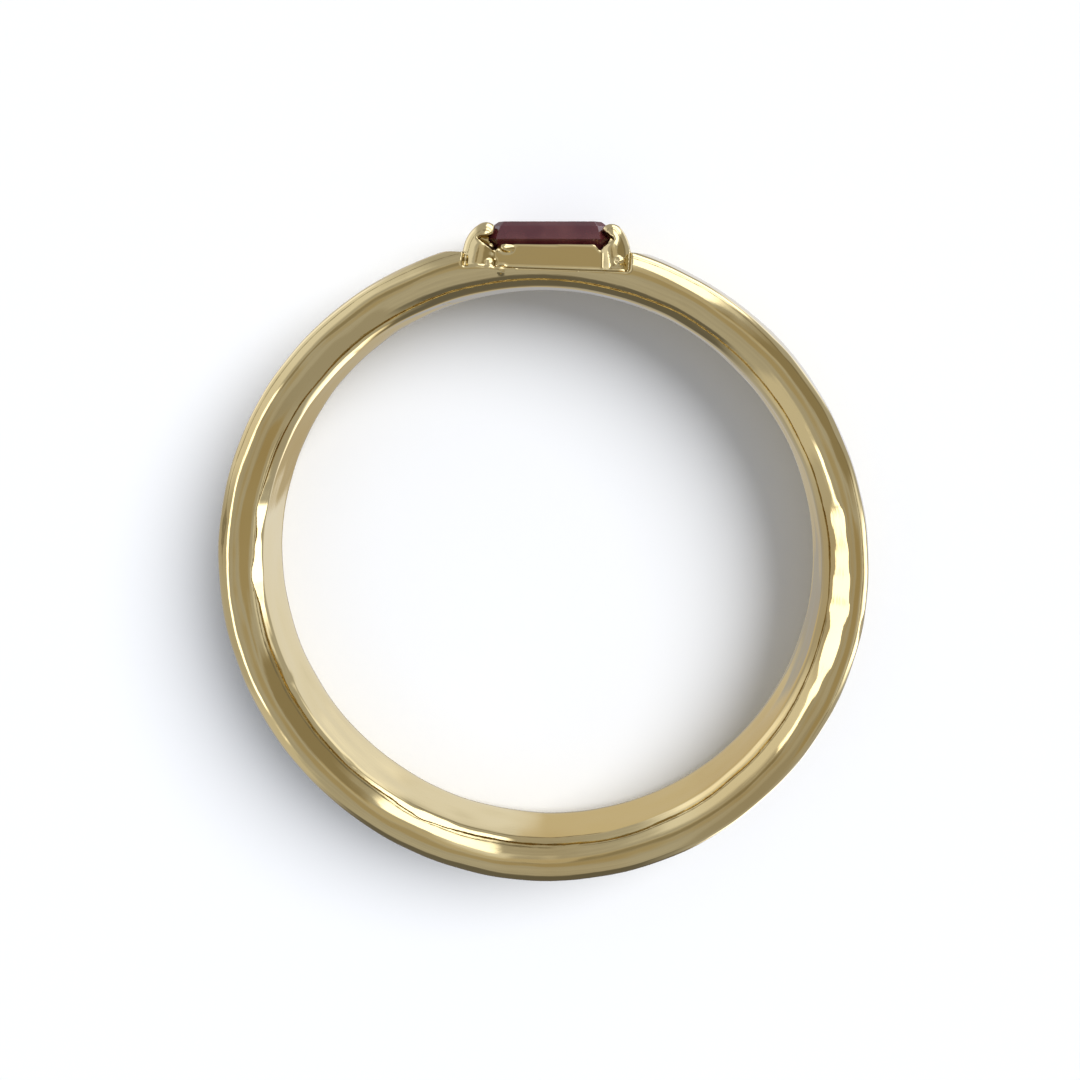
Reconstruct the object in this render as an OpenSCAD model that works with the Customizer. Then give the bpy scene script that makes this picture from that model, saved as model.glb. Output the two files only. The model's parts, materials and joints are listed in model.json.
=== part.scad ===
// Stacking ring: a domed band with a low four-claw head let into a notch, holding one step-cut stone.
// The ring lies on its side. The finger hole's axis is +Z and the head points to +Y. Millimetres.

/* [Band] */
// Inside diameter of the finger hole
finger_d = 17.3; // [15.5:0.1:20]
// Width of the band along the finger
band_w = 3.5; // [3.4:0.05:3.8]
// Thickness of the band from the finger hole to the crown
band_t = 1.55; // [1.5:0.05:1.7]
// Radius of the comfort rounding on the inner edges
inner_edge_r = 0.85; // [0.75:0.05:0.9]
// How full the outer corners are: 1 would be one round from the side to a flat crown
side_fullness = 0.82; // [0.76:0.02:0.9]

/* [Notch for the head] */
// Length of the notch filed across the outside of the band
notch_l = 5.25; // [5.2:0.05:5.6]
// Thickness of the bridge of band left under the head, at its middle
bridge_t = 0.5; // [0.45:0.05:0.55]
// Bevel filed on the top edges of the two shoulders at the notch
shoulder_bevel = 0.16; // [0.08:0.02:0.22]

/* [Head] */
// How far the soldered head is turned out of square with the band, in degrees
head_turn = 1.8; // [0:0.2:2.4]
// How far the head sits off the notch's middle, along the band
head_shift = -0.05; // [-0.06:0.01:0]

/* [Gallery] */
// Length of the flat gallery panels between the claws
panel_l = 3.3; // [3.1:0.05:3.4]
// Width of the gallery over its two panels
gallery_w = 2.9; // [2.85:0.05:3]
// Length of the gallery over its two end walls
gallery_l = 4.3; // [4.2:0.05:4.5]
// Thickness of the gallery walls
wall_t = 0.3; // [0.25:0.05:0.35]
// Height of the panels' top edge above the finger hole
panel_top = 1.22; // [1.15:0.01:1.24]
// Bevel on the top corners of each panel
panel_bevel = 0.28; // [0.15:0.01:0.35]

/* [Claws] */
// Radius of a claw's round foot
claw_foot_r = 0.5; // [0.44:0.01:0.51]
// Radius of a claw's rounded tip
claw_tip_r = 0.36; // [0.3:0.01:0.4]
// Height of a claw's tip above the finger hole
claw_top = 1.83; // [1.8:0.01:1.88]
// Length over which a claw's side curves in towards its tip
claw_curve_l = 0.5; // [0.4:0.05:0.6]

/* [Stone] */
// Length of the stone along the band
stone_l = 4; // [3.95:0.01:4.05]
// Width of the stone along the finger
stone_w = 2.5; // [2.45:0.01:2.55]
// How far the four corners are cut back along each side
corner_cut = 0.46; // [0.4:0.01:0.5]
// Height of the girdle's top edge above the finger hole
girdle_top = 1.4; // [1.38:0.01:1.42]
// Gap between the stone and the metal
seat_gap = 0.02; // [0.01:0.01:0.03]

/* [Hidden] */
$fn = 96;
gold = [0.83, 0.69, 0.37];
garnet = [0.29, 0.07, 0.1];

// Band section: bore land, inner rounding, side arc and crown arc, each tangent to the next
bore_r = finger_d / 2;
half_w = band_w / 2;
land_half = half_w - inner_edge_r;
crest_r = bore_r + inner_edge_r;
outer_r = bore_r + band_t;
dome_t = band_t - inner_edge_r;
side_r = side_fullness * dome_t;
crown_r = (half_w * half_w + dome_t * dome_t - 2 * half_w * side_r) / (2 * (dome_t - side_r));
crown_centre = outer_r - crown_r;
side_centre_z = half_w - side_r;
join_angle = atan2(crest_r - crown_centre, side_centre_z);
join_r = crown_centre + crown_r * sin(join_angle);
join_z = crown_r * cos(join_angle);

// Head heights, counted from the ring's axis
bridge_top = bore_r + bridge_t;
gallery_top = bore_r + panel_top;
girdle_y = bore_r + girdle_top;
claw_tip_y = bore_r + claw_top - claw_tip_r;
foot_sink = 0.12;
past = 1;

// Pocket under the stone: the metal left below it, and the ledge left inside the gallery's walls
pocket_floor = bore_r + 0.34;
pocket_ledge = 0.15;

// Claw places: how far a foot and a tip stand in from the stone's uncut corner, along and across the band
foot_in = [-0.06, 0.11];
tip_in = [0.14, 0.25];
claw_facets = 4;

// Stone levels, from the keel to the table
LEVEL_HEIGHT = 0;
LEVEL_INSET = 1;
stone_levels = [
    [-0.99, 1.12],
    [-0.76, 0.74],
    [-0.42, 0.30],
    [-0.07, 0.00],
    [0.00, 0.00],
    [0.38, 0.26],
    [0.53, 0.46],
];

// Turns a shape so that its own Z points away from the ring's axis, through the head
module at_head() {
    rotate([-90, 0, 0]) children();
}

// Places the head as it is soldered: a little out of square and off the notch's middle
module as_soldered() {
    translate([head_shift, girdle_y, 0]) rotate([0, 0, head_turn]) translate([0, -girdle_y, 0]) children();
}

// Outline of the band's section, x from the ring's axis and y along the finger
module band_section() {
    polygon([
        [bore_r, -land_half],
        [crest_r, -half_w],
        [join_r, -join_z],
        [join_r, join_z],
        [crest_r, half_w],
        [bore_r, land_half],
    ]);
    for (side = [-1, 1]) {
        intersection() {
            translate([crest_r, side * land_half]) circle(r = inner_edge_r);
            translate([bore_r, -half_w]) square([inner_edge_r, band_w]);
        }
        intersection() {
            translate([crest_r, side * side_centre_z]) circle(r = side_r);
            translate([crest_r, -half_w]) square([dome_t, band_w]);
        }
    }
    intersection() {
        translate([crown_centre, 0]) circle(r = crown_r);
        translate([join_r, -half_w]) square([dome_t, band_w]);
    }
}

// Space filed away for the head. Its sides open out at the top, which leaves a bevel on each shoulder
module notch() {
    end_x = notch_l / 2;
    bevel_y = sqrt(outer_r * outer_r - end_x * end_x) - shoulder_bevel;
    flare = outer_r + past - bevel_y;
    linear_extrude(height = band_w + 2 * past, center = true)
        polygon([
            [-end_x, bridge_top],
            [end_x, bridge_top],
            [end_x, bevel_y],
            [end_x + flare, bevel_y + flare],
            [-end_x - flare, bevel_y + flare],
            [-end_x, bevel_y],
        ]);
}

module shank() {
    difference() {
        rotate_extrude() band_section();
        notch();
    }
}

// One long side wall of the gallery, drawn from the side and given its thickness along the finger
module panel(side) {
    half_l = panel_l / 2;
    low = bridge_top - foot_sink;
    translate([0, 0, side * (gallery_w - wall_t) / 2])
        linear_extrude(height = wall_t, center = true)
            polygon([
                [-half_l, low],
                [half_l, low],
                [half_l, gallery_top - panel_bevel],
                [half_l - panel_bevel, gallery_top],
                [panel_bevel - half_l, gallery_top],
                [-half_l, gallery_top - panel_bevel],
            ]);
}

// Low walls that close the gallery behind the panels and between the claws
module gallery_frame() {
    low = bridge_top - foot_sink;
    high = gallery_top - panel_bevel;
    inner_l = gallery_l - 2 * wall_t;
    inner_w = gallery_w - 2 * wall_t;
    inner_h = high - low + 2 * past;
    difference() {
        at_head() translate([-gallery_l / 2, -gallery_w / 2, low]) cube([gallery_l, gallery_w, high - low]);
        at_head() translate([-inner_l / 2, -inner_w / 2, low - past]) cube([inner_l, inner_w, inner_h]);
    }
}

// Unit step from a centre at an angle above the horizontal
function along(angle) = [cos(angle), sin(angle)];

// Half outline of a claw: a straight foot, a side that curves in and a domed tip, both in small facets
module claw_outline(length) {
    squares = claw_curve_l * claw_curve_l + claw_foot_r * claw_foot_r - claw_tip_r * claw_tip_r;
    arc_r = squares / (2 * (claw_foot_r - claw_tip_r));
    arc_centre = [claw_foot_r - arc_r, length - claw_curve_l];
    turn = atan2(claw_curve_l, arc_r - claw_foot_r);
    side = [for (i = [0:claw_facets]) arc_centre + arc_r * along(turn * i / claw_facets)];
    tip = [
        for (i = [1:claw_facets])
            [0, length] + claw_tip_r * along(turn + (90 - turn) * i / claw_facets)
    ];
    polygon([[0, 0], [claw_foot_r, 0], each side, each tip]);
}

// One claw: a round post that leans over the stone's cut corner and ends in a domed tip
module claw(end, side) {
    foot = [end * (stone_l / 2 - foot_in[0]), bridge_top - foot_sink, side * (stone_w / 2 - foot_in[1])];
    tip = [end * (stone_l / 2 - tip_in[0]), claw_tip_y, side * (stone_w / 2 - tip_in[1])];
    lean = tip - foot;
    across = norm([lean[0], lean[1]]);
    translate(foot)
        rotate([0, 0, -atan2(lean[0], lean[1])])
            rotate([atan2(lean[2], across), 0, 0])
                at_head() rotate_extrude() claw_outline(norm(lean));
}

// Eight corners of the stone's outline at one level, grown by a gap
function stone_ring(level, gap) =
    let (
        inset = level[LEVEL_INSET],
        half_l = stone_l / 2 - inset + gap,
        half_s = stone_w / 2 - inset + gap,
        cut = min(corner_cut * (stone_w / 2 - inset) / (stone_w / 2), half_s / 2),
        y = girdle_y + level[LEVEL_HEIGHT]
    ) [
        [half_l, y, half_s - cut],
        [half_l - cut, y, half_s],
        [cut - half_l, y, half_s],
        [-half_l, y, half_s - cut],
        [-half_l, y, cut - half_s],
        [cut - half_l, y, -half_s],
        [half_l - cut, y, -half_s],
        [half_l, y, cut - half_s],
    ];

// The step-cut stone, or the seat cut for it when gap is over 0
module step_cut(gap) {
    last = len(stone_levels) - 1;
    shift = [for (i = [0:last]) i == 0 ? -gap : i == last ? gap : 0];
    rings = [for (i = [0:last]) [for (p = stone_ring(stone_levels[i], gap)) p + [0, shift[i], 0]]];
    corners = len(rings[0]);
    points = [for (ring = rings) each ring];
    walls = [
        for (i = [0:last - 1], k = [0:corners - 1])
            let (next = (k + 1) % corners)
            [i * corners + k, i * corners + next, (i + 1) * corners + next, (i + 1) * corners + k]
    ];
    keel = [for (k = [corners - 1:-1:0]) k];
    table = [for (k = [0:corners - 1]) last * corners + k];
    polyhedron(points = points, faces = concat([keel], walls, [table]));
}

// Gallery and claws before the stone's seat is cut
module head() {
    gallery_frame();
    for (side = [-1, 1]) {
        panel(side);
        for (end = [-1, 1]) claw(end, side);
    }
}

// Space below the stone, open to the seat above it
module pocket() {
    pocket_l = gallery_l - 2 * (wall_t + pocket_ledge);
    pocket_w = gallery_w - 2 * (wall_t + pocket_ledge);
    at_head() translate([-pocket_l / 2, -pocket_w / 2, pocket_floor])
        cube([pocket_l, pocket_w, girdle_y - pocket_floor]);
}

// The band, gallery and claws are soldered into one piece of metal
module band_and_setting() {
    color(gold)
        difference() {
            union() {
                shank();
                as_soldered() head();
            }
            as_soldered() {
                pocket();
                step_cut(seat_gap);
            }
        }
}

module stone() {
    color(garnet) as_soldered() step_cut(0);
}

band_and_setting();
stone();
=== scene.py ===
"""Stacking ring: a polished gold band with a notch, a low four-claw head and one step-cut dark red stone.

The ring lies on its side on a pale floor: +Z is the finger hole's axis and the head points to +Y. Sizes
inside the classes are millimetres, as a goldsmith writes them, and each finished mesh is scaled to metres.
"""
import json
import logging
import math
from dataclasses import dataclass
from enum import Enum

import bmesh
import bpy
from mathutils import Matrix, Vector, noise


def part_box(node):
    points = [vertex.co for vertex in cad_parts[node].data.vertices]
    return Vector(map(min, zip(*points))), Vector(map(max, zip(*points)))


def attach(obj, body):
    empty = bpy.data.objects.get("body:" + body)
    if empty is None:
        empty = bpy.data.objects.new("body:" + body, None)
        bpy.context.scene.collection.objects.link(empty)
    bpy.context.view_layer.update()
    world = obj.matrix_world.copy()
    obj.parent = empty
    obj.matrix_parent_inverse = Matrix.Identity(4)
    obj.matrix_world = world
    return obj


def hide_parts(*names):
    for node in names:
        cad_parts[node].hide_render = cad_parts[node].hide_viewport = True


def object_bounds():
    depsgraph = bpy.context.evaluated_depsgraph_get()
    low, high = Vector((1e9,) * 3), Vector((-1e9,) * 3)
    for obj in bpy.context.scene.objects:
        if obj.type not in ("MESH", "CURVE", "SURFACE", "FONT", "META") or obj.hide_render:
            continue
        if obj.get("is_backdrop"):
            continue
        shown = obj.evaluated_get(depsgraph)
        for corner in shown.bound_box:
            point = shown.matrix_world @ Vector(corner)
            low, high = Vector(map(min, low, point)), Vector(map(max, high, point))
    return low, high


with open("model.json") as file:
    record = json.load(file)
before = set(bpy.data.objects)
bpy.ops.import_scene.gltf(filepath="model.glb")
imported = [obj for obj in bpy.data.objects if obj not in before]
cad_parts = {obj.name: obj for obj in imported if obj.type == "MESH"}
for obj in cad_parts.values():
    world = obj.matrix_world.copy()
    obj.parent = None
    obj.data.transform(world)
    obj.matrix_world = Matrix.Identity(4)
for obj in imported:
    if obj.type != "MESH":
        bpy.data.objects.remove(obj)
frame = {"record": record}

LOG = logging.getLogger("stacking_ring")
METRES = 0.001
METAL_NODE = "band_and_setting"
STONE_NODE = "stone"
BODY = "root"
MIDDLE_R = 9.4
WELD = 1e-4


class End(Enum):
    """The two ends of the head, along the band."""

    LEFT = -1
    RIGHT = 1


class Side(Enum):
    """The two faces of the ring, along the finger."""

    FAR = -1
    NEAR = 1


class Field:
    """A number that varies over a surface: a shader socket with the operators that are used here."""

    def __init__(self, graph: "ShaderGraph", socket: bpy.types.NodeSocket) -> None:
        """Wraps one output socket.

        Args:
            graph: the graph that the socket belongs to.
            socket: the output socket that carries the number.
        """
        self.graph = graph
        self.socket = socket

    def __add__(self, other: "Field | float") -> "Field":
        """This number plus another."""
        return self.graph.maths("ADD", self, other)

    __radd__ = __add__

    def __sub__(self, other: "Field | float") -> "Field":
        """This number minus another."""
        return self.graph.maths("SUBTRACT", self, other)

    def __rsub__(self, other: "Field | float") -> "Field":
        """Another number minus this one."""
        return self.graph.maths("SUBTRACT", other, self)

    def __mul__(self, other: "Field | float") -> "Field":
        """This number times another."""
        return self.graph.maths("MULTIPLY", self, other)

    __rmul__ = __mul__

    def stepped(self, low: float, high: float) -> "Field":
        """A smooth step.

        Args:
            low: the value at which the step starts, 0 there.
            high: the value at which it ends, 1 there.

        Returns:
            The step as a number from 0 to 1.
        """
        ranged = self.graph.add(
            "ShaderNodeMapRange",
            {"interpolation_type": "SMOOTHSTEP"},
            {"Value": self, "From Min": low, "From Max": high},
        )
        return Field(self.graph, ranged.outputs["Result"])


class ShaderGraph:
    """The nodes of one material or world, added one at a time."""

    def __init__(self, tree: bpy.types.NodeTree) -> None:
        """Empties the tree and keeps it.

        Args:
            tree: the node tree to fill.
        """
        self.tree = tree
        tree.nodes.clear()

    def add(self, kind: str, settings: dict | None = None, values: dict | None = None) -> bpy.types.Node:
        """Adds a node.

        Args:
            kind: the node's type.
            settings: the node's own properties, set first.
            values: numbers, colours, Fields or output sockets for the inputs, by name or index.

        Returns:
            The new node.
        """
        node = self.tree.nodes.new(kind)
        for name, value in (settings or {}).items():
            setattr(node, name, value)
        for key, value in (values or {}).items():
            if isinstance(value, Field):
                value = value.socket
            if isinstance(value, bpy.types.NodeSocket):
                self.tree.links.new(value, node.inputs[key])
            else:
                node.inputs[key].default_value = value
        return node

    def maths(self, operation: str, *terms: "Field | float") -> Field:
        """Adds a Math node.

        Args:
            operation: the node's operation.
            terms: its inputs, in order.

        Returns:
            The node's result.
        """
        node = self.add("ShaderNodeMath", {"operation": operation}, dict(enumerate(terms)))
        return Field(self, node.outputs[0])

    def blend(self, factor: "Field | float", first: object, second: object) -> bpy.types.NodeSocket:
        """Mixes two colours.

        Args:
            factor: 0 for the first colour, 1 for the second.
            first: a colour or a colour socket.
            second: a colour or a colour socket.

        Returns:
            The mixed colour's socket.
        """
        node = self.add("ShaderNodeMix", {"data_type": "RGBA"}, {"Factor": factor, 6: first, 7: second})
        return node.outputs[2]

    def noise(self, place: object, scale: float, detail: float = 2.0, stretch: tuple = (1, 1, 1)) -> Field:
        """A noise pattern.

        Args:
            place: the socket that gives positions.
            scale: the noise's scale, after the stretch.
            detail: its octaves.
            stretch: factors for the three axes.

        Returns:
            The noise as a number around 0.5.
        """
        mapped = self.add("ShaderNodeMapping", {}, {"Vector": place, "Scale": stretch})
        node = self.add(
            "ShaderNodeTexNoise", {}, {"Vector": mapped.outputs[0], "Scale": scale, "Detail": detail}
        )
        return Field(self, node.outputs[0])


def new_graph(name: str) -> tuple[bpy.types.Material, ShaderGraph]:
    """Makes an empty node material.

    Args:
        name: the material's name.

    Returns:
        The material and its graph.
    """
    material = bpy.data.materials.new(name)
    material.use_nodes = True
    return material, ShaderGraph(material.node_tree)


@dataclass(frozen=True)
class PolishedGold:
    """Hand-polished pale yellow gold, with fine marks from the buffing wheel that run round the band."""

    colour: tuple = (0.87, 0.71, 0.37, 1.0)
    worn_colour: tuple = (0.81, 0.63, 0.30, 1.0)
    roughness: float = 0.045
    roughness_spread: float = 0.06
    wheel_mark_depth: float = 0.0016
    pit_depth: float = 0.0010
    mark_stretch: tuple = (2.0, 14.0, 14.0)
    haze_scale: float = 650.0
    cloud_scale: float = 190.0

    def material(self) -> bpy.types.Material:
        """Makes the material."""
        material, graph = new_graph("polished_gold")
        place = graph.add("ShaderNodeTexCoord").outputs["Object"]
        round_band = self._round_band(graph, place)
        marks = graph.noise(round_band, 1.0, 3.0, self.mark_stretch)
        haze = graph.noise(place, self.haze_scale, 4.0)
        cloud = graph.noise(place, self.cloud_scale, 3.0)
        height = marks * self.wheel_mark_depth + haze * self.pit_depth
        bump = graph.add("ShaderNodeBump", {}, {"Height": height, "Distance": METRES, "Strength": 1.0})
        mottling = cloud.stepped(0.35, 0.75) + marks.stepped(0.5, 0.8)
        rough = self.roughness + mottling * self.roughness_spread * 0.5
        surface = graph.add(
            "ShaderNodeBsdfPrincipled",
            {},
            {
                "Base Color": graph.blend(cloud.stepped(0.45, 0.7), self.colour, self.worn_colour),
                "Metallic": 1.0,
                "Roughness": rough,
                "Normal": bump.outputs[0],
            },
        )
        graph.add("ShaderNodeOutputMaterial", {}, {"Surface": surface.outputs[0]})
        return material

    @staticmethod
    def _round_band(graph: ShaderGraph, place: bpy.types.NodeSocket) -> bpy.types.NodeSocket:
        """Positions unrolled round the ring's axis: along the band, outwards and up, in millimetres."""
        parts = graph.add("ShaderNodeSeparateXYZ", {}, {"Vector": place})
        x, y, z = (Field(graph, parts.outputs[index]) for index in range(3))
        turn = graph.maths("ARCTAN2", 0 - x, 0 - y)
        radius = graph.maths("SQRT", x * x + y * y)
        places = {"X": turn * MIDDLE_R, "Y": radius * (1 / METRES), "Z": z * (1 / METRES)}
        return graph.add("ShaderNodeCombineXYZ", {}, places).outputs[0]


@dataclass(frozen=True)
class DarkRedStone:
    """A deep purple-red, partly transparent stone."""

    colour: tuple = (0.085, 0.012, 0.018, 1.0)
    cloudy_colour: tuple = (0.14, 0.035, 0.035, 1.0)
    cloud_scale: float = 900.0
    grain_scale: float = 4200.0
    roughness: float = 0.04
    roughness_spread: float = 0.08
    refraction: float = 1.76
    clearness: float = 0.35

    def material(self) -> bpy.types.Material:
        """Makes the material."""
        material, graph = new_graph("dark_red_stone")
        place = graph.add("ShaderNodeTexCoord").outputs["Object"]
        cloud = graph.noise(place, self.cloud_scale, 4.0)
        grain = graph.noise(place, self.grain_scale, 2.0)
        surface = graph.add(
            "ShaderNodeBsdfPrincipled",
            {},
            {
                "Base Color": graph.blend(cloud.stepped(0.35, 0.7), self.colour, self.cloudy_colour),
                "Roughness": self.roughness + grain * self.roughness_spread,
                "IOR": self.refraction,
                "Transmission Weight": self.clearness,
            },
        )
        graph.add("ShaderNodeOutputMaterial", {}, {"Surface": surface.outputs[0]})
        return material


@dataclass(frozen=True)
class PhotoCamera:
    """The camera, fitted to the ring's outlines, with its height above the ring chosen. Millimetres."""

    place: tuple = (2.907, 7.097, 37.0)
    aim: tuple = (-0.024, 0.845, 0.0)
    roll_up: tuple = (-0.0401, 0.9992, 0.0)
    lens: float = 39.56
    sensor: float = 36.0
    nearest: float = 1.0
    furthest: float = 5000.0

    def make(self) -> bpy.types.Object:
        """Makes the camera and gives it to the scene."""
        data = bpy.data.cameras.new("camera")
        data.lens = self.lens
        data.sensor_width = self.sensor
        data.clip_start = self.nearest * METRES
        data.clip_end = self.furthest * METRES
        camera = bpy.data.objects.new("camera", data)
        place = Vector(self.place)
        forward = (Vector(self.aim) - place).normalized()
        right = forward.cross(Vector(self.roll_up)).normalized()
        up = right.cross(forward)
        turned = Matrix((right, up, -forward)).transposed().to_4x4()
        camera.matrix_world = Matrix.Translation(place * METRES) @ turned
        bpy.context.scene.collection.objects.link(camera)
        bpy.context.scene.camera = camera
        return camera


@dataclass(frozen=True)
class Card:
    """A soft-edged light or dark card around the ring, as the polished metal sees it. Degrees.

    Attributes:
        azimuth: direction of its middle, clockwise from the head as seen from above.
        half_turn: half its breadth.
        elevation: height of its middle above the horizon.
        half_rise: half its height.
        soft: breadth of its soft edge.
        level: brightness of its middle, 1 is white.
        warmth: 0 for a neutral card, 1 for a warm brown one.
    """

    azimuth: float
    half_turn: float
    elevation: float
    half_rise: float
    soft: float
    level: float
    warmth: float = 0.0

    def mask(self, graph: ShaderGraph, azimuth: Field, elevation: Field) -> Field:
        """Where the card stands.

        Args:
            graph: the world's graph.
            azimuth: the direction's azimuth.
            elevation: its elevation.

        Returns:
            1 in the card's middle, 0 outside it.
        """
        aside = graph.maths("ABSOLUTE", graph.maths("WRAP", azimuth - self.azimuth, 180.0, -180.0))
        above = graph.maths("ABSOLUTE", elevation - self.elevation)
        across = aside.stepped(self.half_turn + self.soft, self.half_turn - self.soft)
        return across * above.stepped(self.half_rise + self.soft, self.half_rise - self.soft)


# Placed from the reflections in the metal
# Columns: azimuth, half_turn, elevation, half_rise, soft, level and, where it isn't 0, warmth
STUDIO_CARDS = (
    Card(0, 190, 90, 11, 5, 0.38, 0.9),
    Card(0, 60, 68, 8, 5, 0.50, 0.6),
    Card(60, 92, -73, 13, 6, 0.82),
    Card(175, 34, -74, 12, 5, 0.50, 0.9),
    Card(50, 16, -52, 12, 5, 1.10),
    Card(146, 14, -46, 16, 4, 1.90),
    Card(173, 16, -42, 18, 5, 0.20, 1.0),
    Card(300, 50, -64, 14, 6, 0.60, 0.8),
    Card(298, 26, 6, 40, 7, 0.78),
    Card(300, 20, -34, 14, 6, 1.10),
    Card(250, 18, 8, 46, 5, 0.47, 0.3),
    Card(300, 30, 71, 8, 5, 0.27, 0.8),
    Card(62, 20, 34, 34, 5, 0.27, 1.0),
    Card(115, 24, 48, 18, 5, 0.36, 1.0),
    Card(150, 12, 32, 34, 5, 0.36, 0.3),
    Card(188, 26, -14, 34, 5, 0.14, 0.3),
    Card(228, 8, 14, 44, 4, 0.60, 0.3),
    Card(4, 12, 55, 9, 6, 0.75),
    Card(20, 15, 24, 28, 4, 2.00),
    Card(0, 26, -53, 2.5, 2, 0.24, 0.5),
    Card(103, 22, 8, 10, 4, 0.70),
    Card(88, 10, -10, 8, 4, 0.95),
    Card(103, 15, -19, 16, 4, 2.40),
    Card(130, 12, -26, 22, 4, 0.42),
    Card(20, 20, -20, 12, 3, 2.20),
    Card(256, 28, 50, 6, 3, 2.40),
    Card(60, 70, 9, 2, 2, 0.17, 0.5),
    Card(300, 40, 7, 2, 2, 0.22, 0.5),
)


@dataclass
class Studio:
    """The pale floor, the soft key light and the plain surroundings."""

    floor_z: float
    floor_half: float = 400.0
    floor_colour: tuple = (0.90, 0.90, 0.90, 1.0)
    fill: float = 0.41
    back: float = 1.0
    card_base: float = 0.43
    base_warmth: float = 0.15
    echo: float = 0.5
    key_power: float = 3.15
    key_spread: float = 40.0
    key_azimuth: float = 55.0
    key_elevation: float = 46.0
    fill_colour: tuple = (0.88, 0.95, 1.08, 1.0)
    warm_colour: tuple = (1.0, 0.89, 0.66, 1.0)
    neutral_colour: tuple = (0.97, 1.0, 1.10, 1.0)
    azimuth_sway: float = 10.0
    elevation_sway: float = 6.0
    level_sway: float = 0.16

    def make_floor(self) -> bpy.types.Object:
        """Makes the plain floor under the ring. The metal sees the cards in its place."""
        material, graph = new_graph("pale_floor")
        surface = graph.add("ShaderNodeBsdfDiffuse", {}, {"Color": self.floor_colour})
        graph.add("ShaderNodeOutputMaterial", {}, {"Surface": surface.outputs[0]})
        shape = bmesh.new()
        bmesh.ops.create_grid(shape, x_segments=1, y_segments=1, size=self.floor_half)
        bmesh.ops.translate(shape, vec=(0, 0, self.floor_z), verts=shape.verts)
        floor = finish_mesh(shape, "floor", material)
        floor.visible_glossy = False
        floor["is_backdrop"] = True
        return floor

    def make_key(self) -> bpy.types.Object:
        """Makes the broad light that casts the ring's soft shadow."""
        data = bpy.data.lights.new("key_light", "SUN")
        data.energy = self.key_power
        data.angle = math.radians(self.key_spread)
        light = bpy.data.objects.new("key_light", data)
        azimuth, elevation = math.radians(self.key_azimuth), math.radians(self.key_elevation)
        towards = Vector((math.sin(azimuth), math.cos(azimuth), math.tan(elevation)))
        light.rotation_euler = towards.to_track_quat("Z", "Y").to_euler()
        light.visible_glossy = False
        bpy.context.scene.collection.objects.link(light)
        return light

    def make_world(self) -> None:
        """Makes the surroundings: plain and pale, apart from the cards that the polished metal sees."""
        world = bpy.data.worlds.new("studio")
        bpy.context.scene.world = world
        world.use_nodes = True
        graph = ShaderGraph(world.node_tree)
        direction = graph.add("ShaderNodeTexCoord").outputs["Generated"]
        parts = graph.add("ShaderNodeSeparateXYZ", {}, {"Vector": direction})
        x, y, z = (Field(graph, parts.outputs[index]) for index in range(3))
        sway = graph.noise(direction, 2.2, 2.0)
        azimuth = graph.maths("ARCTAN2", x, y) * math.degrees(1) + (sway - 0.5) * self.azimuth_sway
        elevation = graph.maths("ARCSINE", z) * math.degrees(1) + (sway - 0.5) * self.elevation_sway
        seen = self.card_base + (graph.noise(direction, 5.0, 3.0) - 0.5) * self.level_sway
        warmth = self.base_warmth
        for card in STUDIO_CARDS:
            mask = card.mask(graph, azimuth, elevation)
            seen = seen * (1 - mask) + mask * card.level
            warmth = (1 - mask) * warmth + mask * card.warmth
        ray = graph.add("ShaderNodeLightPath").outputs
        echoed = Field(graph, ray["Glossy Depth"]).stepped(1.2, 1.8)
        seen = seen * (1 - echoed * (1 - self.echo))
        tint = graph.blend(warmth, self.neutral_colour, self.warm_colour)
        cards = graph.add("ShaderNodeBackground", {}, {"Color": tint, "Strength": seen})
        pale = graph.add("ShaderNodeBackground", {}, {"Color": (1, 1, 1, 1), "Strength": self.back})
        fill = graph.add("ShaderNodeBackground", {}, {"Color": self.fill_colour, "Strength": self.fill})
        lit = graph.add(
            "ShaderNodeMixShader", {}, {0: ray["Is Diffuse Ray"], 1: cards.outputs[0], 2: fill.outputs[0]}
        )
        plain = graph.add(
            "ShaderNodeMixShader", {}, {0: ray["Is Camera Ray"], 1: lit.outputs[0], 2: pale.outputs[0]}
        )
        graph.add("ShaderNodeOutputWorld", {}, {"Surface": plain.outputs[0]})


def finish_mesh(shape: bmesh.types.BMesh, name: str, material: bpy.types.Material) -> bpy.types.Object:
    """Scales a mesh drawn in millimetres to metres and makes its object.

    Args:
        shape: the mesh, which is freed.
        name: the object's name.
        material: its material.

    Returns:
        The linked object.
    """
    bmesh.ops.scale(shape, vec=(METRES, METRES, METRES), verts=shape.verts)
    mesh = bpy.data.meshes.new(name)
    shape.to_mesh(mesh)
    shape.free()
    mesh.materials.append(material)
    item = bpy.data.objects.new(name, mesh)
    bpy.context.scene.collection.objects.link(item)
    return item


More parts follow.
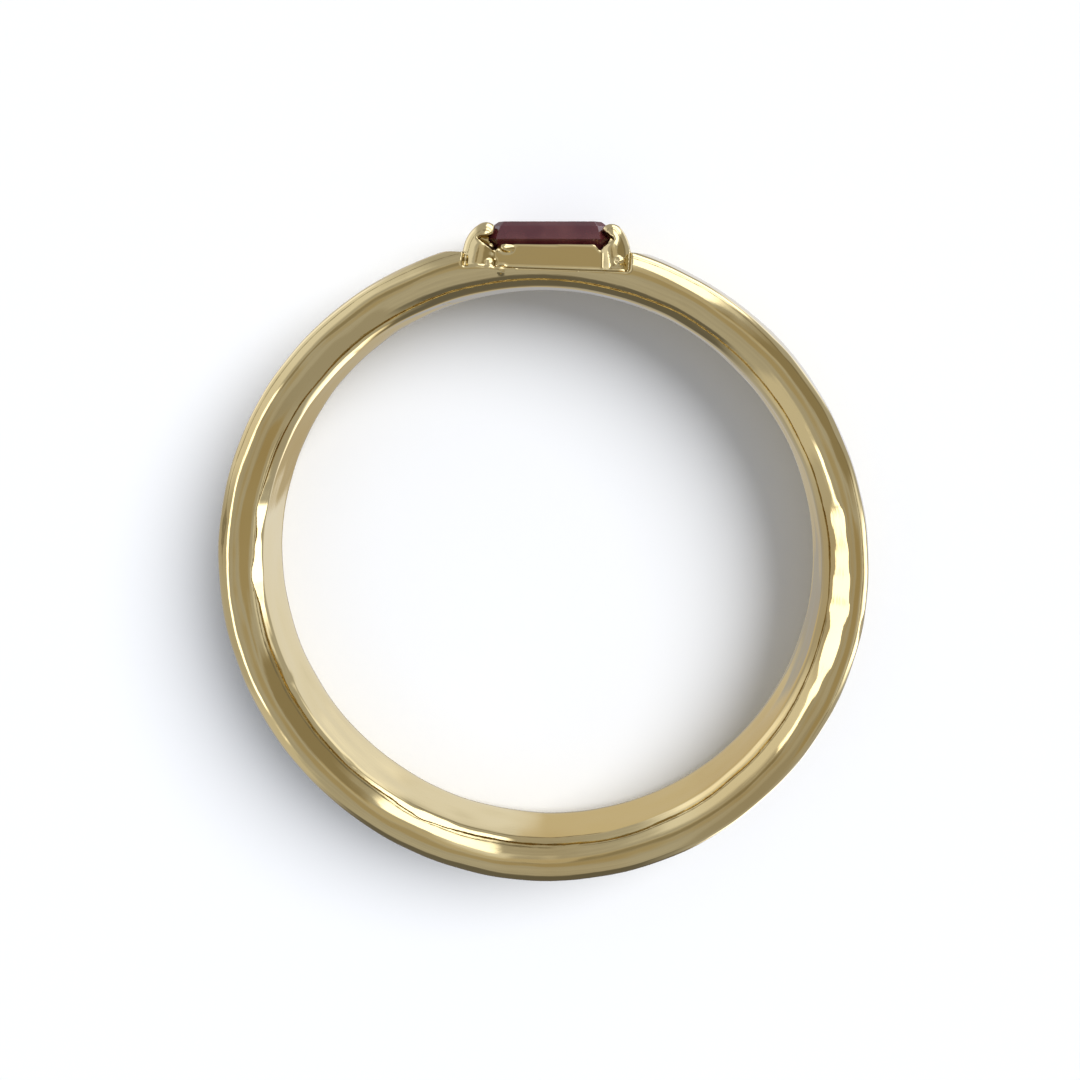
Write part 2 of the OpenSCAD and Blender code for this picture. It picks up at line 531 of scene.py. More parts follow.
class Bench:
    """Work that needs a modifier: cutting one shape with another and fusing shapes into one skin."""

    @staticmethod
    def _hold(shape: bmesh.types.BMesh) -> bpy.types.Object:
        """Puts a shape into a scratch object.

        Args:
            shape: the shape, which is freed.

        Returns:
            The scratch object.
        """
        mesh = bpy.data.meshes.new("scratch")
        shape.to_mesh(mesh)
        shape.free()
        item = bpy.data.objects.new("scratch", mesh)
        bpy.context.scene.collection.objects.link(item)
        return item

    @staticmethod
    def _take(*items: bpy.types.Object) -> bmesh.types.BMesh:
        """Reads the first scratch object with its modifiers and removes them all.

        Args:
            items: scratch objects.

        Returns:
            The first one's finished shape.
        """
        bpy.context.view_layer.update()
        depsgraph = bpy.context.evaluated_depsgraph_get()
        made = bpy.data.meshes.new_from_object(items[0].evaluated_get(depsgraph))
        shape = bmesh.new()
        shape.from_mesh(made)
        bpy.data.meshes.remove(made)
        for item in items:
            mesh = item.data
            bpy.data.objects.remove(item)
            bpy.data.meshes.remove(mesh)
        return shape

    @classmethod
    def cut(cls, shape: bmesh.types.BMesh, tool: bmesh.types.BMesh) -> bmesh.types.BMesh:
        """Cuts a tool's shape out of another.

        Args:
            shape: what is cut, which is freed.
            tool: the tool's shape, which is freed.

        Returns:
            What is left.
        """
        item, cutter = cls._hold(shape), cls._hold(tool)
        boolean = item.modifiers.new("cut", "BOOLEAN")
        boolean.operation = "DIFFERENCE"
        boolean.solver = "EXACT"
        boolean.object = cutter
        return cls._take(item, cutter)

    @classmethod
    def fuse(cls, shape: bmesh.types.BMesh, grain: float) -> bmesh.types.BMesh:
        """Melts overlapping closed shapes into one skin.

        Args:
            shape: the closed shapes in one mesh, which is freed.
            grain: the size of the skin's faces.

        Returns:
            The skin.
        """
        item = cls._hold(shape)
        remesh = item.modifiers.new("fuse", "REMESH")
        remesh.mode = "VOXEL"
        remesh.voxel_size = grain
        return cls._take(item)


def box_shape(low: tuple, high: tuple) -> bmesh.types.BMesh:
    """A box.

    Args:
        low: its lowest corner.
        high: its highest corner.

    Returns:
        The box.
    """
    shape = bmesh.new()
    bmesh.ops.create_cube(shape, size=1.0)
    sizes = [b - a for a, b in zip(low, high)]
    bmesh.ops.scale(shape, vec=sizes, verts=shape.verts)
    bmesh.ops.translate(shape, vec=[(a + b) / 2 for a, b in zip(low, high)], verts=shape.verts)
    return shape


def prism_shape(outline: list[tuple], low: float, high: float) -> bmesh.types.BMesh:
    """A straight prism along Z.

    Args:
        outline: its corners in the XY plane.
        low: the Z of its bottom.
        high: the Z of its top.

    Returns:
        The prism.
    """
    shape = bmesh.new()
    corners = [shape.verts.new((x, y, low)) for x, y in outline]
    bottom = shape.faces.new(corners)
    raised = bmesh.ops.extrude_face_region(shape, geom=[bottom], use_keep_orig=True)["geom"]
    top = [item for item in raised if isinstance(item, bmesh.types.BMVert)]
    bmesh.ops.translate(shape, vec=(0, 0, high - low), verts=top)
    bmesh.ops.recalc_face_normals(shape, faces=shape.faces)
    return shape


def add_to(shape: bmesh.types.BMesh, part: bmesh.types.BMesh) -> None:
    """Adds a part's mesh to a shape.

    Args:
        shape: the shape that grows.
        part: the part, which is freed.
    """
    mesh = bpy.data.meshes.new("scratch")
    part.to_mesh(mesh)
    part.free()
    shape.from_mesh(mesh)
    bpy.data.meshes.remove(mesh)


def sweep_tip(
    shape: bmesh.types.BMesh, tip: bmesh.types.BMVert, centre: tuple, angle: float, steps: int
) -> bmesh.types.BMVert:
    """Draws an arc in the XZ plane from the end of a wire.

    Args:
        shape: the mesh that holds the wire.
        tip: the wire's last vertex.
        centre: the arc's centre, as x and z.
        angle: how far it turns, in radians, from Z towards X.
        steps: its number of edges.

    Returns:
        The new last vertex.
    """
    made = bmesh.ops.spin(
        shape, geom=[tip], cent=(centre[0], 0, centre[1]), axis=(0, 1, 0), angle=angle, steps=steps
    )
    return made["geom_last"][0]


def draw_straight(
    shape: bmesh.types.BMesh, tip: bmesh.types.BMVert, length: float, steps: int
) -> bmesh.types.BMVert:
    """Draws a straight stretch upwards from the end of a wire.

    Args:
        shape: the mesh that holds the wire.
        tip: the wire's last vertex.
        length: how far it goes.
        steps: its number of edges.

    Returns:
        The new last vertex.
    """
    made = bmesh.ops.spin(
        shape, geom=[tip], cent=(0, 0, 0), axis=(0, 1, 0), dvec=(0, 0, length / steps), angle=0.0, steps=steps
    )
    return made["geom_last"][0]


@dataclass(frozen=True)
class BandSection:
    """The band's section: a straight wall at the finger hole, then arcs that run smoothly into each other."""

    bore_r: float
    outer_r: float
    half_w: float
    edge_r: float = 0.85
    fullness: float = 0.82
    wall_steps: int = 6
    near_edge_steps: int = 24
    near_side_steps: int = 18
    crown_steps: int = 12
    far_side_steps: int = 7
    far_edge_steps: int = 9

    @property
    def land_half(self) -> float:
        """Half the width of the straight wall."""
        return self.half_w - self.edge_r

    @property
    def crest_r(self) -> float:
        """Radius at which the two faces stand highest."""
        return self.bore_r + self.edge_r

    @property
    def side_r(self) -> float:
        """Radius of the arcs between faces and crown."""
        return self.fullness * (self.outer_r - self.crest_r)

    @property
    def side_z(self) -> float:
        """Height of the side arcs' centres."""
        return self.half_w - self.side_r

    @property
    def crown_r(self) -> float:
        """Radius of the crown's arc."""
        dome = self.outer_r - self.crest_r
        return (self.half_w**2 + dome**2 - 2 * self.half_w * self.side_r) / (2 * (dome - self.side_r))

    @property
    def crown_x(self) -> float:
        """Distance of the crown arc's centre from the ring's axis."""
        return self.outer_r - self.crown_r

    @property
    def join_turn(self) -> float:
        """Angle at which a side arc runs into the crown, from the finger hole's direction."""
        return math.atan2(self.crest_r - self.crown_x, self.side_z)

    def draw(self, shape: bmesh.types.BMesh, fineness: int) -> None:
        """Draws the section as a closed loop of edges in the XZ plane.

        Args:
            shape: the mesh to draw in.
            fineness: how many times finer than the plainest loop.
        """
        quarter = math.pi / 2
        crown_turn = math.pi - 2 * self.join_turn
        tip = bmesh.ops.create_vert(shape, co=(self.bore_r, 0, -self.land_half))["vert"][0]
        tip = draw_straight(shape, tip, 2 * self.land_half, self.wall_steps * fineness)
        arcs = (
            (self.crest_r, self.land_half, quarter, self.near_edge_steps),
            (self.crest_r, self.side_z, self.join_turn, self.near_side_steps),
            (self.crown_x, 0, crown_turn, self.crown_steps),
            (self.crest_r, -self.side_z, self.join_turn, self.far_side_steps),
            (self.crest_r, -self.land_half, quarter, self.far_edge_steps),
        )
        for centre_x, centre_z, turn, steps in arcs:
            tip = sweep_tip(shape, tip, (centre_x, centre_z), turn, steps * fineness)
        bmesh.ops.remove_doubles(shape, verts=shape.verts, dist=WELD)

    def nearest(self, radius: float, z: float) -> tuple[float, float]:
        """The point of the section nearest to another.

        Args:
            radius: the point's distance from the ring's axis.
            z: its height.

        Returns:
            Radius and height of the nearest point.
        """
        side = math.copysign(1.0, z)
        if radius < self.crest_r:
            if abs(z) <= self.land_half:
                return self.bore_r, z
            centre, reach = (self.crest_r, side * self.land_half), self.edge_r
        elif math.atan2(radius - self.crown_x, abs(z)) > self.join_turn:
            centre, reach = (self.crown_x, 0.0), self.crown_r
        else:
            centre, reach = (self.crest_r, side * self.side_z), self.side_r
        dx, dz = radius - centre[0], z - centre[1]
        scale = reach / math.hypot(dx, dz)
        return centre[0] + dx * scale, centre[1] + dz * scale

    def swept(self, start: float, turn: float, step: float, fineness: int) -> bmesh.types.BMesh:
        """Sweeps the section round the ring's axis.

        Args:
            start: the angle of the first section, in degrees from +X.
            turn: how far the sweep goes, in degrees.
            step: the angle between two sections, in degrees.
            fineness: how many times finer than the plainest loop.

        Returns:
            The open tube.
        """
        shape = bmesh.new()
        self.draw(shape, fineness)
        turned = Matrix.Rotation(math.radians(start), 3, "Z")
        bmesh.ops.rotate(shape, cent=(0, 0, 0), matrix=turned, verts=shape.verts)
        bmesh.ops.spin(
            shape,
            geom=shape.verts[:] + shape.edges[:],
            cent=(0, 0, 0),
            axis=(0, 0, 1),
            angle=math.radians(turn),
            steps=round(turn / step),
        )
        bmesh.ops.recalc_face_normals(shape, faces=shape.faces)
        return shape


@dataclass(frozen=True)
class WornFacet:
    """A long flat on the band's rounded face, such as wear leaves. Its place is guessed from the highlights.

    Attributes:
        azimuth: where its middle is, clockwise from the head as seen from above, in degrees.
        half_turn: half its length, in degrees.
        tilt: how far it faces the finger hole instead of straight up, in degrees.
        depth: how much is worn off in its middle.
        wave_scale: waves of depth for each degree of its length.
        wave_share: how much of the depth they change.
    """

    azimuth: float
    half_turn: float
    tilt: float
    depth: float
    wave_scale: float = 0.22
    wave_share: float = 0.5

    def press(self, vert: bmesh.types.BMVert, section: BandSection) -> None:
        """Presses a vertex of the band back to the flat.

        Args:
            vert: the vertex.
            section: the band's section.
        """
        azimuth = math.degrees(math.atan2(vert.co.x, vert.co.y)) % 360
        along = abs(azimuth - self.azimuth) / self.half_turn
        if along >= 1 or vert.co.z < 0:
            return
        wave = noise.noise(Vector((azimuth * self.wave_scale, self.azimuth, 0)))
        depth = self.depth * (1 - along**2) * (1 + self.wave_share * wave)
        tilt = math.radians(self.tilt)
        radius = math.hypot(vert.co.x, vert.co.y)
        if tilt > 0:
            centre_z, reach = section.land_half, section.edge_r
        else:
            centre_z, reach = section.side_z, section.side_r
        rise = (vert.co.z - centre_z) * math.cos(tilt)
        proud = rise - (radius - section.crest_r) * math.sin(tilt) - reach + depth
        if proud > 0:
            new_radius = radius + proud * math.sin(tilt)
            vert.co.x *= new_radius / radius
            vert.co.y *= new_radius / radius
            vert.co.z -= proud * math.cos(tilt)


WORN_FACETS = (
    WornFacet(azimuth=91, half_turn=26, tilt=25, depth=0.085),
    WornFacet(azimuth=267, half_turn=9, tilt=65, depth=0.078),
    WornFacet(azimuth=281, half_turn=7, tilt=66, depth=0.066),
    WornFacet(azimuth=300, half_turn=7, tilt=74, depth=0.048),
    WornFacet(azimuth=318, half_turn=5, tilt=74, depth=0.044),
    WornFacet(azimuth=201, half_turn=15, tilt=67, depth=0.055),
    WornFacet(azimuth=223, half_turn=6, tilt=76, depth=0.042),
    WornFacet(azimuth=243, half_turn=7, tilt=76, depth=0.042),
    WornFacet(azimuth=276, half_turn=8, tilt=-32, depth=0.050),
    WornFacet(azimuth=96, half_turn=4, tilt=-58, depth=0.045),
    WornFacet(azimuth=125, half_turn=7, tilt=-58, depth=0.045),
    WornFacet(azimuth=62, half_turn=6, tilt=-56, depth=0.045),
    WornFacet(azimuth=46, half_turn=5, tilt=-56, depth=0.045),
)


@dataclass(frozen=True)
class HeadPlace:
    """Where the soldered head sits: a little out of square and off the notch's middle."""

    pivot_y: float = 10.05
    turn: float = 1.8
    shift: float = -0.05

    @property
    def matrix(self) -> Matrix:
        """The move from square to as soldered."""
        pivot = Vector((0, self.pivot_y, 0))
        placed = Matrix.Translation(pivot + Vector((self.shift, 0, 0)))
        return placed @ Matrix.Rotation(math.radians(self.turn), 4, "Z") @ Matrix.Translation(-pivot)

    def apply(self, shape: bmesh.types.BMesh) -> bmesh.types.BMesh:
        """Moves a shape to its soldered place and returns it."""
        bmesh.ops.transform(shape, matrix=self.matrix, verts=shape.verts)
        return shape


@dataclass(frozen=True)
class StepCutStone:
    """The step-cut stone: a cut-cornered girdle with parallel steps above and below."""

    length: float = 4.0
    width: float = 2.5
    corner_cut: float = 0.46
    girdle_y: float = 10.05
    girdle_t: float = 0.02
    crown_steps: tuple = ((0.26, 0.38), (0.20, 0.15))
    pavilion_steps: tuple = ((0.30, 0.35), (0.44, 0.34), (0.36, 0.23))
    facet_edge: float = 0.014
    sliver: float = 0.001

    def blank(self, gap: float = 0.0) -> bmesh.types.BMesh:
        """Cuts the stone, with sharp edges.

        Args:
            gap: how much larger it is all round, for the seat.

        Returns:
            The stone, with its table towards +Y.
        """
        shape = bmesh.new()
        bmesh.ops.create_grid(shape, x_segments=1, y_segments=1, size=0.5)
        size = (self.length + 2 * gap, self.width + 2 * gap, 1)
        bmesh.ops.scale(shape, vec=size, verts=shape.verts)
        bmesh.ops.bevel(
            shape, geom=shape.verts[:], affect="VERTICES", offset=self.corner_cut, offset_type="OFFSET",
            segments=1, profile=0.5, material=-1,
        )
        made = bmesh.ops.extrude_face_region(shape, geom=shape.faces[:], use_keep_orig=True)["geom"]
        lower = [item for item in made if isinstance(item, bmesh.types.BMVert)]
        bmesh.ops.translate(shape, vec=(0, 0, -self.girdle_t), verts=lower)
        bmesh.ops.recalc_face_normals(shape, faces=shape.faces)
        for steps, up in ((self.crown_steps, 1), (self.pavilion_steps, -1)):
            face = max(shape.faces, key=lambda one: up * one.calc_center_median().z)
            for inset, height in steps:
                bmesh.ops.inset_region(
                    shape, faces=[face], thickness=inset, depth=height, use_even_offset=True
                )
        bmesh.ops.recalc_face_normals(shape, faces=shape.faces)
        standing = Matrix.Rotation(math.radians(-90), 4, "X")
        placed = Matrix.Translation((0, self.girdle_y, 0)) @ standing
        bmesh.ops.transform(shape, matrix=placed, verts=shape.verts)
        return shape

    def make(self, place: HeadPlace, material: bpy.types.Material) -> bpy.types.Object:
        """Makes the finished stone, with softened facet edges.

        Args:
            place: where the head sits.
            material: the stone's material.

        Returns:
            The stone.
        """
        shape = self.blank()
        bmesh.ops.bevel(
            shape, geom=shape.edges[:], affect="EDGES", offset=self.facet_edge, offset_type="OFFSET",
            segments=2, profile=0.5, material=-1, clamp_overlap=True,
        )
        bmesh.ops.remove_doubles(shape, verts=shape.verts, dist=self.sliver)
        place.apply(shape)
        bmesh.ops.recalc_face_normals(shape, faces=shape.faces)
        stone = finish_mesh(shape, "step_cut_stone", material)
        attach(stone, BODY)
        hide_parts(STONE_NODE)
        return stone


@dataclass(frozen=True)
class Claw:
    """A round claw that leans over one of the stone's cut corners."""

    end: End
    side: Side
    top_y: float
    foot_r: float
    foot_in: tuple
    tip_r: float = 0.36
    tip_in: tuple = (0.14, 0.25)
    curve_l: float = 0.5
    foot_y: float = 8.95
    straight_steps: int = 12
    curve_steps: int = 10
    dome_steps: int = 12
    round_steps: int = 48

    def shape(self, stone: StepCutStone) -> bmesh.types.BMesh:
        """Turns the claw's outline and leans it over.

        Args:
            stone: the stone, whose corner the claw stands at.

        Returns:
            The closed claw.
        """
        foot = self._spot(stone, self.foot_in, self.foot_y)
        tip = self._spot(stone, self.tip_in, self.top_y - self.tip_r)
        lean = tip - foot
        length = lean.length
        arc_r = (self.curve_l**2 + self.foot_r**2 - self.tip_r**2) / (2 * (self.foot_r - self.tip_r))
        turn = math.atan2(self.curve_l, arc_r - self.foot_r)
        shape = bmesh.new()
        end = bmesh.ops.create_vert(shape, co=(self.foot_r, 0, 0))["vert"][0]
        straight = length - self.curve_l
        end = draw_straight(shape, end, straight, self.straight_steps)
        end = sweep_tip(shape, end, (self.foot_r - arc_r, straight), -turn, self.curve_steps)
        sweep_tip(shape, end, (0, length), turn - math.pi / 2, self.dome_steps)
        bmesh.ops.spin(
            shape, geom=shape.verts[:] + shape.edges[:], cent=(0, 0, 0), axis=(0, 0, 1), angle=2 * math.pi,
            steps=self.round_steps, use_merge=True,
        )
        bmesh.ops.remove_doubles(shape, verts=shape.verts, dist=WELD)
        bmesh.ops.holes_fill(shape, edges=[e for e in shape.edges if e.is_boundary], sides=0)
        bmesh.ops.recalc_face_normals(shape, faces=shape.faces)
        leaning = Vector((0, 0, 1)).rotation_difference(lean).to_matrix().to_4x4()
        bmesh.ops.transform(shape, matrix=Matrix.Translation(foot) @ leaning, verts=shape.verts)
        return shape

    def _spot(self, stone: StepCutStone, inset: tuple, height: float) -> Vector:
        """A point near the stone's uncut corner.

        Args:
            stone: the stone.
            inset: how far in from the corner, along and across the band.
            height: the point's Y.

        Returns:
            The point.
        """
        x = self.end.value * (stone.length / 2 - inset[0])
        z = self.side.value * (stone.width / 2 - inset[1])
        return Vector((x, height, z))


@dataclass(frozen=True)
class FiledSeat:
    """What was filed off the claws at one end: a flat towards the stone and a wedge for the stone's edge.

    Attributes:
        end: which end of the head.
        flat_x, flat_low, flat_high: how far out the flat lies, and the heights of its edges.
        apex_x, apex_y: the wedge's point.
        mouth_low, mouth_high: the heights of the wedge's mouth.
        splay: how much lower the mouth is on the claw's outer face.
        inner_x: how far out the waste starts.
        wedge_z, high_z: how far along the finger the wedge starts, and all waste ends.
    """

    end: End
    flat_x: float
    flat_low: float
    flat_high: float
    apex_x: float
    apex_y: float
    mouth_low: float
    mouth_high: float
    splay: float = 0.6
    inner_x: float = 1.2
    wedge_z: float = 1.04
    high_z: float = 2.0

    def flat(self) -> bmesh.types.BMesh:
        """The flat's waste."""
        sides = sorted((self.end.value * self.inner_x, self.end.value * self.flat_x))
        return box_shape((sides[0], self.flat_low, -self.high_z), (sides[1], self.flat_high, self.high_z))

    def wedge(self, side: Side) -> bmesh.types.BMesh:
        """The wedge's waste, which leaves the claw whole behind the stone's corner."""
        outline = [
            (self.end.value * self.apex_x, self.apex_y),
            (self.end.value * self.inner_x, self.mouth_high),
            (self.end.value * self.inner_x, self.mouth_low),
        ]
        waste = prism_shape(outline, *sorted((side.value * self.wedge_z, side.value * self.high_z)))
        for vert in waste.verts:
            outside = abs(vert.co.z) > (self.wedge_z + self.high_z) / 2
            if outside and vert.co.y < (self.mouth_low + self.apex_y) / 2:
                vert.co.y -= self.splay
        return waste


FILED_SEATS = {
    End.LEFT: FiledSeat(
        end=End.LEFT, flat_x=1.60, flat_low=9.30, flat_high=10.70,
        apex_x=2.12, apex_y=10.09, mouth_low=9.41, mouth_high=10.18,
    ),
    End.RIGHT: FiledSeat(
        end=End.RIGHT, flat_x=1.60, flat_low=9.30, flat_high=10.10,
        apex_x=1.97, apex_y=10.02, mouth_low=9.50, mouth_high=10.60,
    ),
}

# How the claws differ at the two ends. The other sizes are the same for all four
CLAW_FORMS = {
    End.LEFT: {"top_y": 10.54, "foot_r": 0.58, "foot_in": (-0.12, 0.11)},
    End.RIGHT: {"top_y": 10.49, "foot_r": 0.50, "foot_in": (-0.05, 0.11)},
}


@dataclass(frozen=True)
class SolderBead:
    """A drop of solder at a claw's foot, rubbed nearly flat by the polishing."""

    x: float
    y: float
    z: float
    length: float
    breadth: float
    thickness: float = 0.07
    facing: tuple = (0.26, 0.51, 0.82)

    def shape(self) -> bmesh.types.BMesh:
        """The bead."""
        shape = bmesh.new()
        bmesh.ops.create_icosphere(shape, subdivisions=3, radius=1.0)
        bmesh.ops.scale(shape, vec=(self.length / 2, self.breadth / 2, self.thickness), verts=shape.verts)
        turned = Vector((0, 0, 1)).rotation_difference(Vector(self.facing)).to_matrix()
        bmesh.ops.rotate(shape, cent=(0, 0, 0), matrix=turned, verts=shape.verts)
        bmesh.ops.translate(shape, vec=(self.x, self.y, self.z), verts=shape.verts)
        return shape


SOLDER_BEADS = (
    SolderBead(x=-1.69, y=9.28, z=1.58, length=0.30, breadth=0.26),
    SolderBead(x=-1.37, y=9.10, z=1.62, length=0.30, breadth=0.28),
    SolderBead(x=-1.22, y=9.73, z=1.47, length=0.46, breadth=0.26),
    SolderBead(x=2.12, y=9.45, z=1.60, length=0.28, breadth=0.20),
)


@dataclass(frozen=True)
class Gallery:
    """The low walls under the stone: two flat panels with cut corners and two end walls."""

    panel_l: float = 3.3
    length: float = 4.3
    width: float = 2.9
    wall: float = 0.3
    low_y: float = 8.95
    top_y: float = 9.87
    bevel: float = 0.28
    ledge: float = 0.15
    pocket_y: float = 8.99

    def panel(self, side: Side) -> bmesh.types.BMesh:
        """One long side wall, with its top corners cut."""
        half = self.panel_l / 2
        middle = side.value * (self.width - self.wall) / 2
        outline = [
            (-half, self.low_y),
            (half, self.low_y),
            (half, self.top_y - self.bevel),
            (half - self.bevel, self.top_y),
            (self.bevel - half, self.top_y),
            (-half, self.top_y - self.bevel),
        ]
        return prism_shape(outline, middle - self.wall / 2, middle + self.wall / 2)

    def end_wall(self, end: End) -> bmesh.types.BMesh:
        """One low wall between two claws."""
        outer, inner = end.value * self.length / 2, end.value * (self.length / 2 - self.wall)
        low = (min(outer, inner), self.low_y, -self.width / 2)
        high = (max(outer, inner), self.top_y - self.bevel, self.width / 2)
        return box_shape(low, high)

    def pocket(self, girdle_y: float) -> bmesh.types.BMesh:
        """The space below the stone."""
        half_l = self.length / 2 - self.wall - self.ledge
        half_w = self.width / 2 - self.wall - self.ledge
        return box_shape((-half_l, self.pocket_y, -half_w), (half_l, girdle_y, half_w))


@dataclass(frozen=True)
class Notch:
    """The space filed out of the band for the head, as it is left after soldering.

    Solder has closed the gap beside the claws up to a crease, and the left shoulder's top was filed flat.
    """

    floor_y: float = 9.15
    left_wall: float = -2.50
    left_crease_y: float = 9.555
    left_lip: tuple = (-2.68, 9.57)
    left_flat: tuple = (-3.36, 9.60)
    right_wall: float = 2.40
    right_crease_y: float = 9.72
    right_lip: tuple = (2.86, 9.75)
    high_y: float = 11.3
    left_spread: float = 2.0
    past_band: float = 1.0
    face_z: float = 1.57
    waste_rise: float = 0.04

    def across(self, section: BandSection) -> bmesh.types.BMesh:
        """The file's path across the band."""
        lip_x, lip_y = self.right_lip
        outline = [
            (self.left_wall, self.floor_y),
            (self.right_wall, self.floor_y),
            (self.right_wall, self.right_crease_y),
            self.right_lip,
            (lip_x + self.high_y - lip_y, self.high_y),
            (self.left_flat[0] - (self.high_y - self.left_flat[1]) * self.left_spread, self.high_y),
            self.left_flat,
            self.left_lip,
            (self.left_wall, self.left_crease_y),
        ]
        return prism_shape(outline, -section.half_w - self.past_band, section.half_w + self.past_band)

    def foot_waste(self, side: Side) -> bmesh.types.BMesh:
        """What stood out of the bridge's face at the claws' feet and was filed off."""
        zs = sorted((side.value * self.face_z, side.value * self.high_y))
        return box_shape((-self.high_y, 0, zs[0]), (self.high_y, self.floor_y + self.waste_rise, zs[1]))


@dataclass(frozen=True)
class Metalwork:
    """The soldered metal: the band, the notch, the gallery and the claws as one skin. Turns are degrees.

    Attributes:
        head_turn: half the stretch of band that is made with the head.
        spare_turn: how much more is made, and trimmed off.
        seam_turn: the gap that is bridged between that stretch and the rest.
        head_step, band_step: angle between two sections in that stretch, and in the rest.
        settle_turns: how far before its end the skin starts to settle on the section, and is settled.
        grain: size of the skin's faces.
        ripple_turns: how far off the head the waves start, and the turn in which they reach full depth.
        streak_scale, lump_scale: fineness of the streaks and lumps, along the band and across it.
        lump_offset: where in the noise the lumps are taken.
    """

    section: BandSection
    stone: StepCutStone
    place: HeadPlace
    notch: Notch = Notch()
    gallery: Gallery = Gallery()
    head_turn: float = 21.0
    spare_turn: float = 3.0
    seam_turn: float = 0.7
    head_step: float = 0.35
    band_step: float = 0.8
    settle_turns: tuple = (3.5, 1.0)
    grain: float = 0.040
    smoothings: int = 3
    seat_gap: float = 0.02
    ripple_turns: tuple = (13.0, 12.0)
    streak_scale: tuple = (0.24, 2.3)
    streak_depth: float = 0.034
    lump_scale: tuple = (0.8, 1.1)
    lump_offset: float = 40.0
    lump_depth: float = 0.040

    def head_shape(self) -> bmesh.types.BMesh:
        """Solders the head to its stretch of band.

        Returns:
            The head region as one skin, open at its two ends.
        """
        reach = self.head_turn + self.spare_turn
        stretch = self.section.swept(90 - reach, 2 * reach, self.head_step, 2)
        bmesh.ops.holes_fill(stretch, edges=[e for e in stretch.edges if e.is_boundary], sides=0)
        bmesh.ops.recalc_face_normals(stretch, faces=stretch.faces)
        stretch = Bench.cut(stretch, self.notch.across(self.section))
        whole = Bench.cut(stretch, self.place.apply(self.gallery.pocket(self.stone.girdle_y)))
        parts = [self.gallery.panel(side) for side in Side]
        parts += [self.gallery.end_wall(end) for end in End]
        parts += [self._filed_claw(end, side) for end in End for side in Side]
        for part in parts:
            seat = self.place.apply(self.stone.blank(self.seat_gap))
            add_to(whole, Bench.cut(self.place.apply(part), seat))
        for bead in SOLDER_BEADS:
            add_to(whole, bead.shape())
        skin = Bench.fuse(whole, self.grain)
        for _ in range(self.smoothings):
            bmesh.ops.smooth_vert(
                skin, verts=skin.verts, factor=0.5, use_axis_x=True, use_axis_y=True, use_axis_z=True
            )
        self._settle(skin)
        self._trim(skin)
        return skin

    def _filed_claw(self, end: End, side: Side) -> bmesh.types.BMesh:
        """Makes a claw and files its flat, its wedge and its foot.

        Args:
            end: which end of the head it stands at.
            side: which face of the ring it stands at.

        Returns:
            The filed claw, before the stone's seat is cut.
        """
        claw = Claw(end, side, **CLAW_FORMS[end]).shape(self.stone)
        for waste in (FILED_SEATS[end].flat(), FILED_SEATS[end].wedge(side), self.notch.foot_waste(side)):
            claw = Bench.cut(claw, waste)
        return claw

    def _settle(self, skin: bmesh.types.BMesh) -> None:
        """Puts the plain stretch of the skin back on the band's exact section.

        Args:
            skin: the head region's skin.
        """
        start, full = (self.head_turn - before for before in self.settle_turns)
        for vert in skin.verts:
            off = abs(math.degrees(math.atan2(vert.co.x, vert.co.y)))
            weight = min(max((off - start) / (full - start), 0.0), 1.0)
            if weight > 0:
                radius = math.hypot(vert.co.x, vert.co.y)
                near_r, near_z = self.section.nearest(radius, vert.co.z)
                target = Vector((vert.co.x * near_r / radius, vert.co.y * near_r / radius, near_z))
                vert.co = vert.co.lerp(target, weight)

    def _trim(self, skin: bmesh.types.BMesh) -> None:
        """Trims both ends of the skin to planes through the ring's axis.

        Args:
            skin: the head region's skin.
        """
        turn = math.radians(self.head_turn)
        for end in End:
            bmesh.ops.bisect_plane(
                skin,
                geom=skin.verts[:] + skin.edges[:] + skin.faces[:],
                dist=1e-5,
                plane_co=(0, 0, 0),
                plane_no=(end.value * math.cos(turn), -math.sin(turn), 0),
                clear_outer=True,
            )

    def _ripple(self, shape: bmesh.types.BMesh) -> None:
        """Presses the low waves of hand filing and buffing into the band, long along it and short across it.

        Args:
            shape: the joined metal.
        """
        shape.normal_update()
        start, rise = self.ripple_turns
        streak_along, streak_across = self.streak_scale
        lump_along, lump_across = self.lump_scale
        for vert in shape.verts:
            turn = math.atan2(-vert.co.x, -vert.co.y)
            off_head = 180 - abs(math.degrees(turn))
            weight = min(max((off_head - start) / rise, 0.0), 1.0)
            if weight > 0:
                along, out, up = turn * MIDDLE_R, math.hypot(vert.co.x, vert.co.y), vert.co.z
                streak = noise.noise(Vector((along * streak_along, out * streak_across, up * streak_across)))
                lump_spot = (along * lump_along + self.lump_offset, out * lump_across, up * lump_across)
                lump = noise.noise(Vector(lump_spot))
                depth = 0.5 * (1 + streak) * self.streak_depth + 0.5 * (1 + lump) * self.lump_depth
                vert.co -= vert.normal * depth * weight
                for facet in WORN_FACETS:
                    facet.press(vert, self.section)

    def make(self, material: bpy.types.Material) -> bpy.types.Object:
        """Joins the head region to the rest of the band.

        Args:
            material: the metal's material.

        Returns:
            The finished metal.
        """
        shape = self.head_shape()
        open_turn = self.head_turn + self.seam_turn
        band = self.section.swept(90 + open_turn, 360 - 2 * open_turn, self.band_step, 1)
        add_to(shape, band)
        rim = [edge for edge in shape.edges if edge.is_boundary]
        for end in End:
            near = [edge for edge in rim if edge.verts[0].co.x * end.value > 0]
            bmesh.ops.bridge_loops(shape, edges=near)
        bmesh.ops.recalc_face_normals(shape, faces=shape.faces)
        self._ripple(shape)
        for face in shape.faces:
            face.smooth = True
        metal = finish_mesh(shape, "gold_band_and_setting", material)
        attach(metal, BODY)
        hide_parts(METAL_NODE)
        return metal


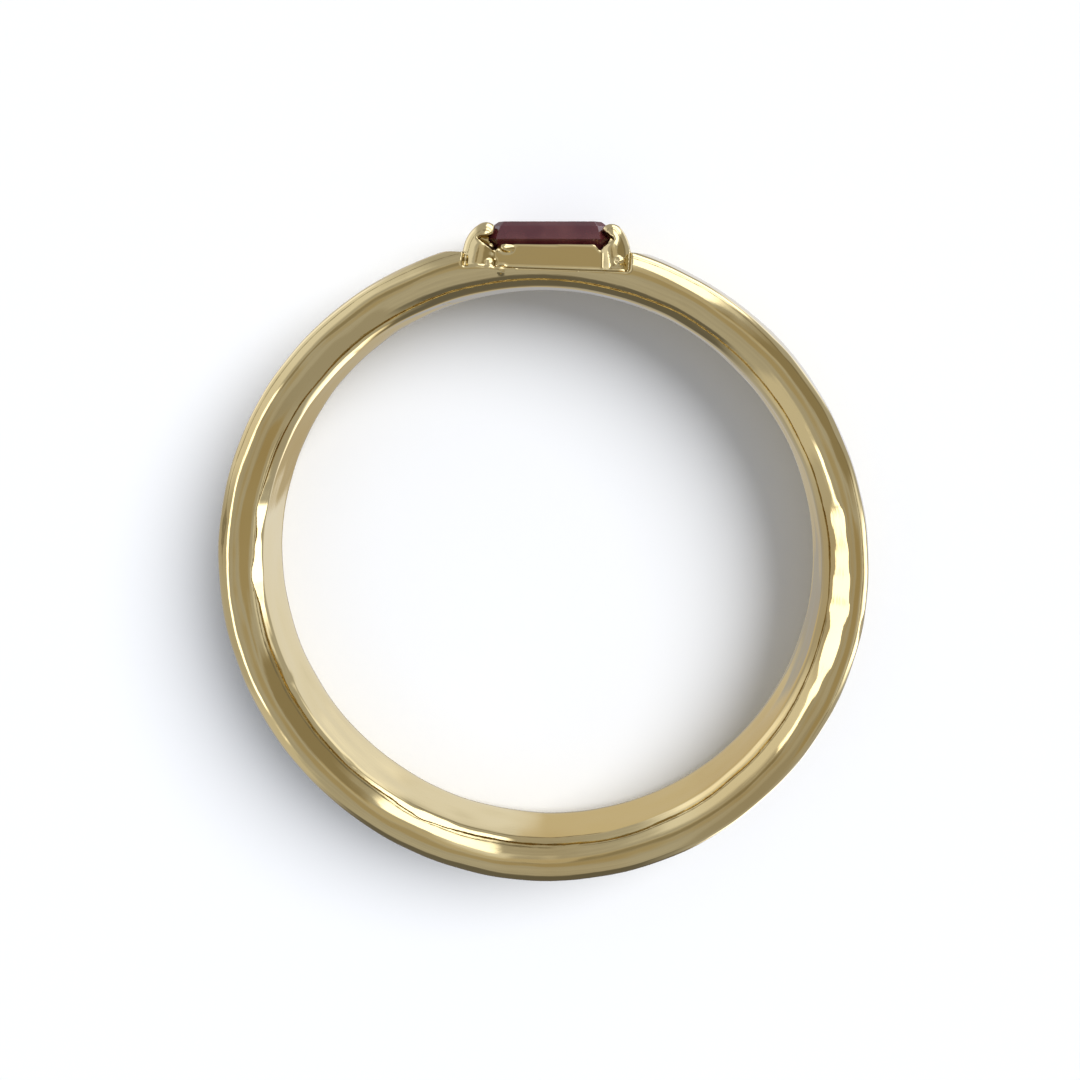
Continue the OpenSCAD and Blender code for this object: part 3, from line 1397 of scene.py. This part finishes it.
def main() -> None:
    """Builds the ring and the studio."""
    logging.basicConfig(level=logging.INFO, format="%(name)s: %(message)s")
    cad_low, cad_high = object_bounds()
    bpy.context.scene.view_settings.view_transform = "Standard"
    PhotoCamera().make()
    studio = Studio(floor_z=cad_low.z / METRES)
    studio.make_floor()
    studio.make_key()
    studio.make_world()
    _, metal_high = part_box(METAL_NODE)
    finger_hole = next(mount for mount in frame["record"]["mounts"] if mount["name"] == "finger_hole")
    section = BandSection(
        bore_r=finger_hole["dims"]["r_mm"], outer_r=metal_high.x / METRES, half_w=metal_high.z / METRES
    )
    place = HeadPlace()
    cut = StepCutStone()
    stone = cut.make(place, DarkRedStone().material())
    metal = Metalwork(section, cut, place).make(PolishedGold().material())
    for piece in (stone, metal):
        LOG.info("%s: %d faces", piece.name, len(piece.data.polygons))


if __name__ == "__main__":
    main()
